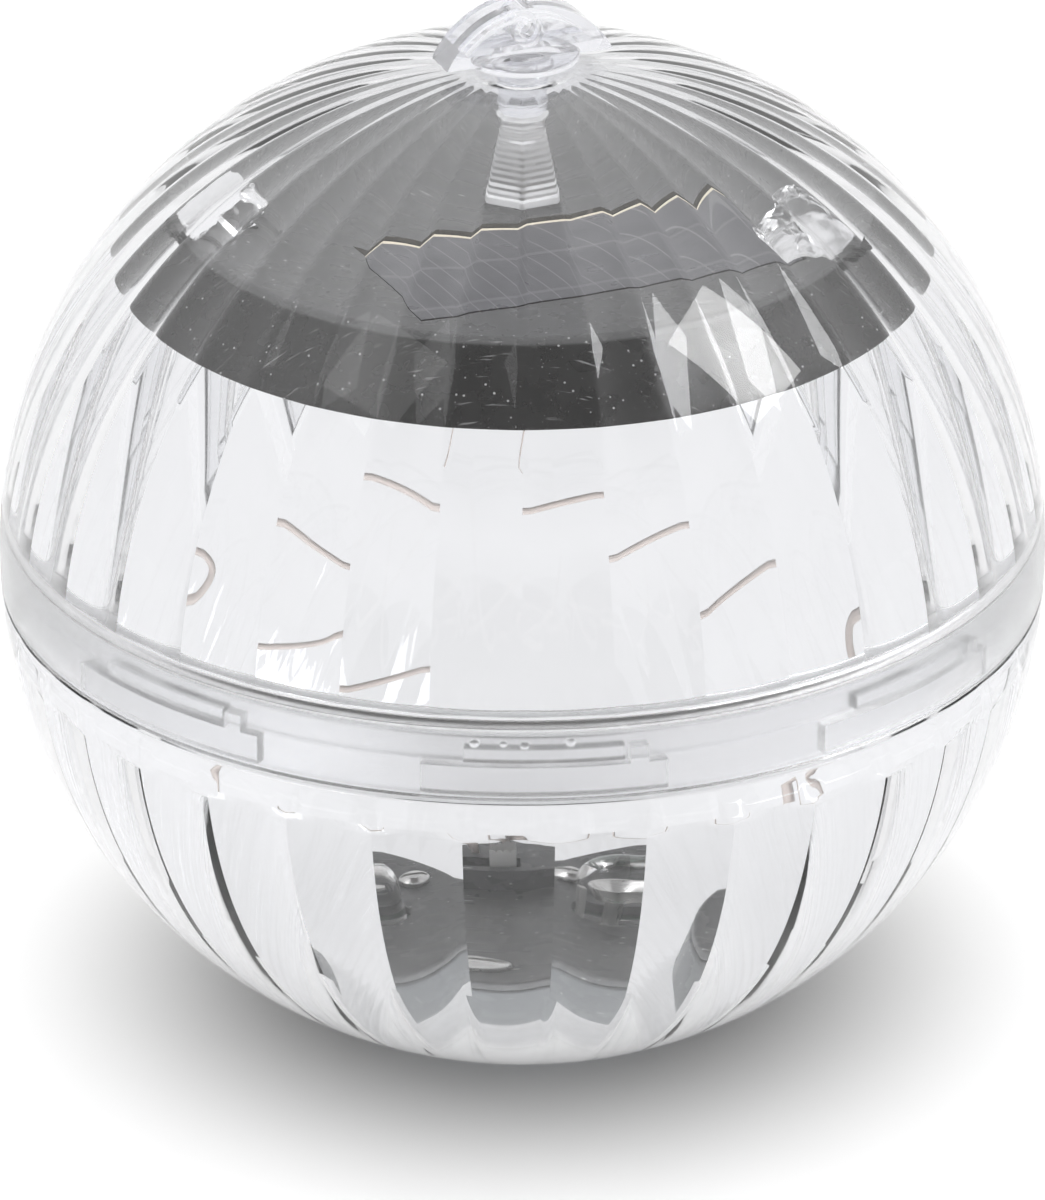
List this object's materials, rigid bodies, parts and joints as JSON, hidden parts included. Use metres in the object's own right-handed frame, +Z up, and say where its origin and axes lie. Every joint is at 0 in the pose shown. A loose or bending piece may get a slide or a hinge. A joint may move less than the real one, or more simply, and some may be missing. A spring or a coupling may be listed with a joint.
{
  "type": "floating pool light",
  "caption": "Clear ribbed ball that floats in a pool: a solar cell high inside charges a lamp unit in the bottom, the halves lock with a twist, an eye on top takes a cord",
  "frame": {"origin": "centre of the small flat at the bottom that the ball stands on", "axes": "+Z up through the hanger and the middle of both domes, -Y towards the side that the solar cell lies nearest to, +X to the right seen from there"},
  "size_m": [0.1, 0.1, 0.1043],
  "materials": {
    "clear_plastic": "clear, colourless, polished",
    "clear_glue": "cloudy hot-melt glue",
    "seal_silicone": "translucent silicone",
    "black_plastic": "satin black with fine dust",
    "cell_blue": "dark solar cell under clear resin",
    "board_cream": "bare laminate",
    "board_green": "solder resist",
    "steel": "nickel plated",
    "lead_insulation": "thin pale insulation",
    "led_resin": "water-clear resin",
    "chip_black": "moulded epoxy",
    "white_plastic": "satin white"
  },
  "bodies": {
    "lower": {"lower_dome": "clear_plastic", "seal_ring": "seal_silicone", "lamp_base": "black_plastic", "lamp_lid": "black_plastic", "lamp_board": "board_green", "led_left": "led_resin", "led_right": "led_resin", "switch_body": "black_plastic", "coin_cell": "steel", "contact_lower": "steel", "contact_upper": "steel", "driver_chip": "chip_black", "charge_diode": "chip_black", "boost_coil": "chip_black", "adhesive_pad": "clear_glue", "lead_left": "lead_insulation", "lead_right": "lead_insulation", "lid_screw_1": "steel", "lid_screw_2": "steel", "lid_screw_3": "steel"},
    "upper": {"upper_dome": "clear_plastic", "hanger": "clear_plastic", "tray_post": "clear_plastic", "post_screw": "steel", "solar_tray": "black_plastic", "panel_board": "board_cream", "solar_cell": "cell_blue", "glue_drop_left": "clear_glue", "glue_drop_right": "clear_glue", "lead_end_left": "lead_insulation", "lead_end_right": "lead_insulation"},
    "slider": {"switch_slider": "white_plastic"}
  },
  "joints": [
    {"name": "bayonet_twist", "type": "hinge", "parent": "lower", "child": "upper", "pos_m": [0, 0, 0.04854], "axis": [0, 0, 1], "range_deg": [0, 22.5]},
    {"name": "switch_slide", "type": "slide", "parent": "lower", "child": "slider", "axis": [1, 0, 0], "range_m": [0, 0.002]}
  ]
}
